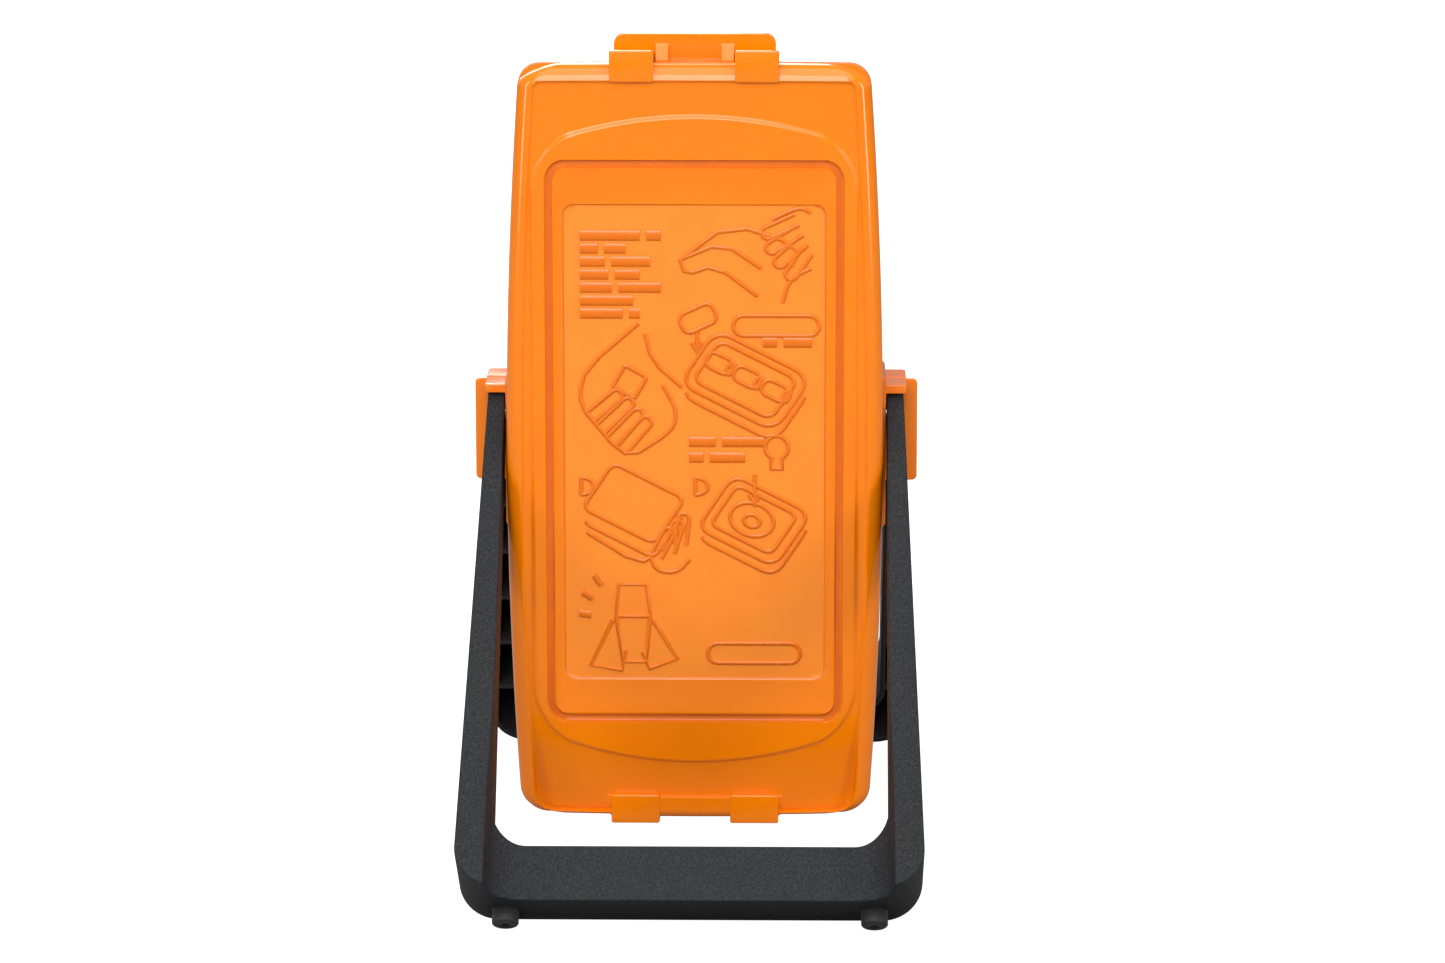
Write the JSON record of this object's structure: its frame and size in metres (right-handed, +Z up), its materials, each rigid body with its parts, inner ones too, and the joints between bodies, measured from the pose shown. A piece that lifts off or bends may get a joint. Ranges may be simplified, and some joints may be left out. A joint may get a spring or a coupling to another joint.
{
  "type": "folding warning flasher lamp",
  "caption": "Free-standing battery flasher lamp: barrel-shaped case with an amber lens in front and a battery cover behind, hung between two folding U-shaped bows.",
  "frame": {"origin": "on the ground, midway between the four feet, with the bows open", "axes": "+Z up, -Y the way the lens looks, +X to the right of someone who looks at the lens"},
  "size_m": [0.1296, 0.2328, 0.2387],
  "materials": {
    "orange_case": "glossy injection-moulded ABS",
    "grey_bow": "spark-eroded matt texture",
    "foot_rubber": "moulded rubber",
    "seal_rubber": "moulded rubber",
    "pad_foam": "closed-cell foam",
    "amber_lens": "clear amber polycarbonate",
    "pin_steel": "ground steel",
    "screw_steel": "zinc plated",
    "reflector_metal": "vacuum metallised",
    "bulb_glass": "clear blown glass",
    "bulb_brass": "rolled brass",
    "socket_plastic": "moulded phenolic",
    "tray_plastic": "moulded natural ABS",
    "cell_jacket": "printed metal can",
    "contact_brass": "stamped spring brass",
    "button_plastic": "moulded ABS",
    "switch_plastic": "moulded ABS",
    "spring_steel": "drawn wire",
    "board_laminate": "solder mask",
    "relay_plastic": "moulded case",
    "capacitor_sleeve": "shrunk sleeve",
    "wire_red": "extruded PVC",
    "wire_black": "extruded PVC"
  },
  "bodies": {
    "case": {"front_housing": "orange_case", "pivot_bracket_right": "orange_case", "pivot_bracket_left": "orange_case", "rear_pivot_pin_right": "pin_steel", "rear_pivot_pin_left": "pin_steel", "front_pivot_pin_right": "pin_steel", "front_pivot_pin_left": "pin_steel", "bracket_screws": "screw_steel", "tray_screws": "screw_steel", "lens_hinge_pins": "pin_steel", "reflector": "reflector_metal", "bulb_socket": "socket_plastic", "bulb_cap": "bulb_brass", "bulb_glass": "bulb_glass", "battery_cell_1": "cell_jacket", "battery_cell_2": "cell_jacket", "battery_cell_3": "cell_jacket", "battery_cell_4": "cell_jacket", "battery_cell_5": "cell_jacket", "battery_tray": "tray_plastic", "contact_bridge": "contact_brass", "lower_contacts": "contact_brass", "pocket_contacts": "contact_brass", "switch_body": "switch_plastic", "button_spring": "spring_steel", "flasher_board": "board_laminate", "flasher_relay": "relay_plastic", "flasher_capacitor": "capacitor_sleeve", "wire_live": "wire_red", "wire_return": "wire_black"},
    "rear_bow": {"rear_bow": "grey_bow", "rear_foot_right": "foot_rubber", "rear_foot_left": "foot_rubber"},
    "front_bow": {"front_bow": "grey_bow", "front_foot_right": "foot_rubber", "front_foot_left": "foot_rubber"},
    "rear_cover": {"rear_cover": "orange_case", "cover_gasket": "seal_rubber", "cell_pads": "pad_foam"},
    "lens_cover": {"lens": "amber_lens", "lens_seal": "seal_rubber"},
    "button": {"button": "button_plastic"}
  },
  "joints": [
    {"name": "rear_bow_fold", "type": "hinge", "parent": "case", "child": "rear_bow", "pos_m": [0, 0.0073, 0.12729], "axis": [-1, 0, 0], "range_deg": [0, 36.4]},
    {"name": "front_bow_fold", "type": "hinge", "parent": "case", "child": "front_bow", "pos_m": [0, -0.0073, 0.12729], "axis": [1, 0, 0], "range_deg": [0, 36.4]},
    {"name": "rear_cover_open", "type": "hinge", "parent": "case", "child": "rear_cover", "pos_m": [0, 0.015, 0.01249], "axis": [-1, 0, 0], "range_deg": [0, 60]},
    {"name": "lens_open", "type": "hinge", "parent": "case", "child": "lens_cover", "pos_m": [0, -0.0314, 0.21819], "axis": [-1, 0, 0], "range_deg": [0, 60]},
    {"name": "button_press", "type": "slide", "parent": "case", "child": "button", "axis": [0, 1, 0], "range_m": [0, 0.0025], "stiffness_N_per_m": 250, "springref_m": -0.002, "deforming": ["button_spring"]}
  ]
}
